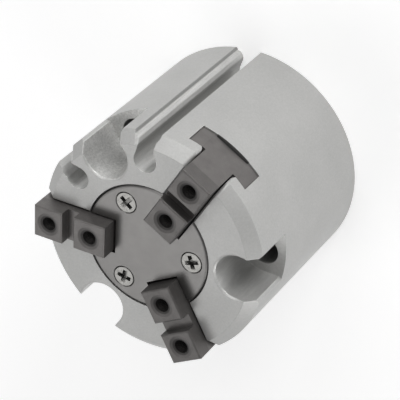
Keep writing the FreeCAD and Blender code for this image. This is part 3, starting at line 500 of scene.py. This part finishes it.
def dress_frame():
    """Give each node of the frame the material that its slot names."""
    for part in frame["record"]["subparts"]:
        name = part["node"]
        if name.startswith("finger_"):
            material = FINGER_STEEL[name[-1]]
        else:
            material = MATERIALS[part["material_slot"]]
        for slot in nodes[name].material_slots:
            slot.material = material


# ---------------------------------------------------------------------------------------------
# Pieces
# ---------------------------------------------------------------------------------------------
def piece(name, mesh, material, body):
    """Finish a bmesh as a piece that rides on a body."""
    data = bpy.data.meshes.new(name)
    bmesh.ops.recalc_face_normals(mesh, faces=mesh.faces)
    mesh.to_mesh(data)
    mesh.free()
    data.materials.append(material)
    thing = bpy.data.objects.new(name, data)
    bpy.context.scene.collection.objects.link(thing)
    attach(thing, body)
    return thing


def sweep(mesh, rings):
    """Skin equal rings of points in order, each ring closed, and cap both ends."""
    made = [[mesh.verts.new(point) for point in ring] for ring in rings]
    count = len(made[0])
    for ring, after in zip(made, made[1:]):
        for index in range(count):
            following = (index + 1) % count
            mesh.faces.new((ring[index], ring[following], after[following], after[index]))
    mesh.faces.new(list(reversed(made[0])))
    mesh.faces.new(made[-1])


THREAD_STEPS = 36           # rings in one turn of a thread
M3_PITCH = 0.5 * MM
M5_PITCH = 0.8 * MM
PORT_THREAD_START, PORT_THREAD_LENGTH = 0.6 * MM, 4.6 * MM
REAR_THREAD_START, REAR_THREAD_LENGTH = 0.4 * MM, 9.2 * MM


def thread(name, mouth, inward, radius, pitch, length, material, body, slot):
    """Thread ridge that winds down a plain hole from its mouth and fades out at both ends."""
    turns = (length - pitch) / pitch
    height = pitch * 0.12
    root_half = pitch * 0.42
    crest_half = pitch * 0.08
    root = radius + 0.02 * MM
    start = inward.orthogonal().normalized()
    side = inward.cross(start)
    rings = []
    for step in range(int(turns * THREAD_STEPS) + 1):
        turn = step / THREAD_STEPS
        angle = turn * 2 * math.pi
        out = start * math.cos(angle) + side * math.sin(angle)
        fade = min(1.0, turn * 2, (turns - turn) * 2 + 0.05)
        crest = radius - height * max(fade, 0.05)
        centre = mouth + inward * (turn + 0.5) * pitch
        rings.append([
            centre + out * root - inward * root_half,
            centre + out * crest - inward * crest_half,
            centre + out * crest + inward * crest_half,
            centre + out * root + inward * root_half,
        ])
    mesh = bmesh.new()
    sweep(mesh, rings)
    return piece(name, mesh, material, body)


def finger_threads():
    for letter in FINGER_ANGLES:
        for which in ("inner", "outer"):
            mount = mounts[f"finger_{letter}_thread_{which}"]
            thread(f"finger_{letter}_{which}_thread", Vector(mount["pos_m"]), Vector((0, 0, -1)),
                   mount["dims"]["r_mm"] * MM, M3_PITCH, mount["dims"]["length_mm"] * MM,
                   FINGER_STEEL[letter], f"jaw_{letter}", "finger_steel")


def body_threads():
    look = (MATERIALS["anodised_body"], "housing", "anodised_body")
    for name in ("rear_port", "front_port"):
        mount = mounts[name]
        outward = Vector(mount["axis"])
        mouth = Vector(mount["pos_m"])
        mouth += outward * (BODY_RADIUS - mouth.xy.length)
        thread(f"{name}_thread", mouth - outward * PORT_THREAD_START, -outward,
               mount["dims"]["r_mm"] * MM, M5_PITCH, PORT_THREAD_LENGTH, *look)
    rear = mounts["rear_bolts"]["dims"]
    for number in range(rear["count"]):
        angle = math.radians(SCALLOP_ANGLE + THIRD_TURN * number)
        mouth = Vector((math.cos(angle), math.sin(angle), 0)) * BOLT_CIRCLE
        thread(f"rear_thread_{number + 1}", mouth + Vector((0, 0, REAR_THREAD_START)),
               Vector((0, 0, 1)), rear["hole_r_mm"] * MM, M5_PITCH, REAR_THREAD_LENGTH, *look)


def revolve(mesh, profile, centre, segments=64):
    """Closed solid of revolution about Z from (radius, height) pairs, its ends on the axis."""
    turns = [2 * math.pi * step / segments for step in range(segments)]
    rings = []
    for radius, height in profile:
        angles = turns if radius else turns[:1]
        rings.append([mesh.verts.new(centre + Vector((radius * math.cos(angle),
                                                      radius * math.sin(angle), height)))
                      for angle in angles])
    for ring, after in zip(rings, rings[1:]):
        for index in range(segments):
            following = (index + 1) % segments
            corners = [ring[index % len(ring)], ring[following % len(ring)],
                       after[following % len(after)], after[index % len(after)]]
            mesh.faces.new(list(dict.fromkeys(corners)))


# Half width and half length of each wing of the cross recess, and how deep it goes
RECESS_TOP = (0.4 * MM, 1.3 * MM)
RECESS_BOTTOM = (0.28 * MM, 0.75 * MM)
RECESS_DEPTH = 0.85 * MM
RECESS_TURN = math.radians(20)
SHANK_RADIUS = 0.95 * MM


def cross_cutter(centre, angle):
    """Tapered wing across a screw's recess, as a closed solid that stands a little proud."""
    mesh = bmesh.new()
    along = Vector((math.cos(angle), math.sin(angle), 0))
    across = Vector((-along.y, along.x, 0))
    lift = 0.2 * MM
    rings = []
    for height, share in ((lift, -lift / RECESS_DEPTH), (-RECESS_DEPTH, 1.0)):
        half, reach = (top + (bottom - top) * share
                       for top, bottom in zip(RECESS_TOP, RECESS_BOTTOM))
        rings.append([centre + Vector((0, 0, height)) + along * (reach * a) + across * (half * b)
                      for a, b in ((1, 1), (-1, 1), (-1, -1), (1, -1))])
    sweep(mesh, rings)
    bmesh.ops.recalc_face_normals(mesh, faces=mesh.faces)
    return mesh


def cut(thing, meshes):
    """Take closed meshes away from a piece."""
    for mesh in meshes:
        data = bpy.data.meshes.new("cutter")
        mesh.to_mesh(data)
        mesh.free()
        cutter = bpy.data.objects.new("cutter", data)
        bpy.context.scene.collection.objects.link(cutter)
        modifier = thing.modifiers.new("cut", "BOOLEAN")
        modifier.operation = "DIFFERENCE"
        modifier.solver = "EXACT"
        modifier.object = cutter
        bpy.context.view_layer.update()
        depsgraph = bpy.context.evaluated_depsgraph_get()
        result = bpy.data.meshes.new_from_object(thing.evaluated_get(depsgraph))
        thing.modifiers.clear()
        thing.data = result
        bpy.data.objects.remove(cutter)
        bpy.data.meshes.remove(data)


def shade_by_angle(thing, degrees=30):
    """Smooth shading with sharp edges kept."""
    thing.data.shade_smooth()
    thing.data.set_sharp_from_angle(angle=math.radians(degrees))


def plate_screw(name):
    """Countersunk screw with a cross recess, in the place of its plain node."""
    low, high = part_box(name)
    centre = Vector(((low.x + high.x) / 2, (low.y + high.y) / 2, high.z))
    head = (high.x - low.x) / 2 - 0.01 * MM
    length = high.z - low.z
    mesh = bmesh.new()
    revolve(mesh, [
        (0, -length), (SHANK_RADIUS - 0.25 * MM, -length), (SHANK_RADIUS, -length + 0.3 * MM),
        (SHANK_RADIUS, SHANK_RADIUS - head - 0.1 * MM),
        (head, -0.1 * MM), (head, -0.05 * MM), (head - 0.05 * MM, 0), (0, 0),
    ], centre)
    screw = piece(name + "_head", mesh, MATERIALS["screw_steel"], "housing")
    turn = math.atan2(centre.y, centre.x) + RECESS_TURN
    cut(screw, [cross_cutter(centre, turn + quarter) for quarter in (0, math.pi / 2)])
    shade_by_angle(screw)
    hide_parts(name)


# ---------------------------------------------------------------------------------------------
# Camera, light and floor
# ---------------------------------------------------------------------------------------------
# Angles in degrees, the lens in millimetres
AIM = Vector((-0.448, -0.391, 19.497)) * MM
DISTANCE = 336.72 * MM
AZIMUTH = -36.6
ELEVATION = 49.09
ROLL = -132.44
LENS = 174.72

# Azimuth, elevation, width and watts
LAMP_DISTANCE = 0.6
LAMPS = {
    "key": (-24, 9, 0.2, 1.9),
    "front": (10, 36, 0.3, 0.52),
    "back": (-128, 9, 0.22, 0.8),
    "top": (135, 58, 0.34, 0.68),
}

BACKDROP = 0.955            # the world as it is seen, up to BRIGHT_BELOW above the horizon
CEILING = 0.4               # the world as it is seen, from DIM_ABOVE on
AMBIENT = 0.3               # the world as it lights the object
BRIGHT_BELOW, DIM_ABOVE = 18, 38
FLOOR_GLOW = 0.45
FLOOR_COLOUR = 0.85
FLOOR_RADIUS = 2.0
FLOOR_GAP = 0.02 * MM


def bearing(azimuth, elevation):
    """Unit vector from the object towards a camera or lamp; azimuth 0 is -Y."""
    turn, rise = math.radians(azimuth), math.radians(elevation)
    return Vector((math.sin(turn) * math.cos(rise), -math.cos(turn) * math.cos(rise),
                   math.sin(rise)))


def add_camera():
    data = bpy.data.cameras.new("camera")
    data.lens = LENS
    data.sensor_width = 36
    data.clip_start = 0.01
    camera = bpy.data.objects.new("camera", data)
    direction = bearing(AZIMUTH, ELEVATION)
    camera.location = AIM + direction * DISTANCE
    camera.rotation_mode = "QUATERNION"
    level = (-direction).to_track_quat("-Z", "Y")
    camera.rotation_quaternion = level @ Quaternion((0, 0, 1), math.radians(ROLL))
    bpy.context.scene.collection.objects.link(camera)
    bpy.context.scene.camera = camera


def add_lamp(name, azimuth, elevation, size, watts):
    """Square soft box that faces the object."""
    data = bpy.data.lights.new(name, "AREA")
    data.shape = "SQUARE"
    data.size = size
    data.energy = watts
    lamp = bpy.data.objects.new(name, data)
    direction = bearing(azimuth, elevation)
    lamp.location = AIM + direction * LAMP_DISTANCE
    lamp.rotation_mode = "QUATERNION"
    lamp.rotation_quaternion = (-direction).to_track_quat("-Z", "Y")
    bpy.context.scene.collection.objects.link(lamp)


def seen_directly(tree):
    """1 for rays that show a background: camera, glossy and transmission rays."""
    rays = tree.nodes.new("ShaderNodeLightPath").outputs
    seen = rays["Is Camera Ray"]
    for kind in ("Is Glossy Ray", "Is Transmission Ray"):
        either = tree.nodes.new("ShaderNodeMath")
        either.operation = "MAXIMUM"
        tree.links.new(seen, either.inputs[0])
        tree.links.new(rays[kind], either.inputs[1])
        seen = either.outputs[0]
    return seen


def add_world():
    """White towards the horizon, where it shows as the backdrop, and dimmer overhead."""
    world = bpy.data.worlds.new("studio")
    world.use_nodes = True
    tree = world.node_tree
    mix = tree.nodes.new("ShaderNodeMix")
    mix.data_type = "RGBA"
    tree.links.new(seen_directly(tree), mix.inputs[0])
    mix.inputs[6].default_value = (AMBIENT, AMBIENT, AMBIENT, 1)
    direction = tree.nodes.new("ShaderNodeSeparateXYZ")
    tree.links.new(tree.nodes.new("ShaderNodeTexCoord").outputs["Generated"], direction.inputs[0])
    shade = tree.nodes.new("ShaderNodeMapRange")
    shade.inputs["From Min"].default_value = math.sin(math.radians(BRIGHT_BELOW))
    shade.inputs["From Max"].default_value = math.sin(math.radians(DIM_ABOVE))
    shade.inputs["To Min"].default_value = BACKDROP
    shade.inputs["To Max"].default_value = CEILING
    tree.links.new(direction.outputs[2], shade.inputs["Value"])
    tree.links.new(shade.outputs[0], mix.inputs[7])
    tree.links.new(mix.outputs[2], tree.nodes["Background"].inputs["Color"])
    bpy.context.scene.world = world


def add_floor():
    """Wide pale disc that holds the shadow, with a glow that only shows directly."""
    mesh = bmesh.new()
    bmesh.ops.create_circle(mesh, cap_ends=True, segments=96, radius=FLOOR_RADIUS)
    data = bpy.data.meshes.new("floor")
    mesh.to_mesh(data)
    mesh.free()
    floor = bpy.data.objects.new("floor", data)
    floor.location.z = cad_box[0][2] - FLOOR_GAP
    material = bpy.data.materials.new("floor")
    material.use_nodes = True
    tree = material.node_tree
    shader = tree.nodes["Principled BSDF"]
    shader.inputs["Roughness"].default_value = 1.0
    shader.inputs["Specular IOR Level"].default_value = 0.0
    shader.inputs["Base Color"].default_value = (FLOOR_COLOUR, FLOOR_COLOUR, FLOOR_COLOUR, 1)
    shader.inputs["Emission Color"].default_value = (1, 1, 1, 1)
    glow = tree.nodes.new("ShaderNodeMath")
    glow.operation = "MULTIPLY"
    tree.links.new(seen_directly(tree), glow.inputs[0])
    glow.inputs[1].default_value = FLOOR_GLOW
    tree.links.new(glow.outputs[0], shader.inputs["Emission Strength"])
    data.materials.append(material)
    bpy.context.scene.collection.objects.link(floor)


dress_frame()
finger_threads()
body_threads()
for number in (1, 2, 3):
    plate_screw(f"end_plate_screw_{number}")

add_camera()
for lamp_name, lamp_settings in LAMPS.items():
    add_lamp(lamp_name, *lamp_settings)
add_world()
add_floor()

view = bpy.context.scene.view_settings
view.view_transform = "Standard"
